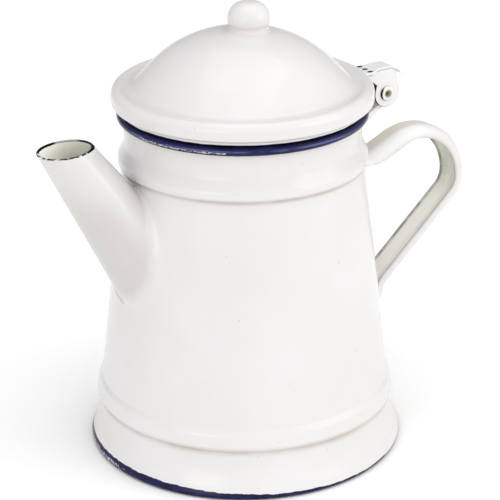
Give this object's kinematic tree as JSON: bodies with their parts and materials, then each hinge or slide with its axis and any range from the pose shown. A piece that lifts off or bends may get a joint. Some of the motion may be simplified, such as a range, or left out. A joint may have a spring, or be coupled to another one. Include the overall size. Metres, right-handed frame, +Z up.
{
  "type": "coffee pot",
  "caption": "Tapered enamelled coffee pot with a straight spout, a strap handle, a rolled rim and foot, and a domed lid that swings on a rear hinge.",
  "frame": {"origin": "centre of the round foot, on the surface that the pot stands on", "axes": "+Z up; the spout points to -X, the handle and the hinge to +X; the hinge pin runs along Y and the pot is symmetric about the XZ plane"},
  "size_m": [0.1925, 0.127, 0.1818],
  "materials": {
    "white_enamel": "glossy white vitreous enamel on sheet steel, slightly warm",
    "rivet_steel": "bare tinned steel tube, dull with age"
  },
  "bodies": {
    "pot": {"body_shell": "white_enamel", "bottom_pan": "white_enamel", "spout": "white_enamel", "handle": "white_enamel", "hinge_arm": "white_enamel"},
    "lid": {"lid_shell": "white_enamel", "lid_collar": "white_enamel", "lid_knob": "white_enamel", "lid_clip": "white_enamel", "hinge_rivet": "rivet_steel"}
  },
  "joints": [
    {"name": "lid_hinge", "type": "hinge", "parent": "pot", "child": "lid", "pos_m": [0.0651, 0, 0.1351], "axis": [0, 1, 0], "range_deg": [0, 110]}
  ]
}
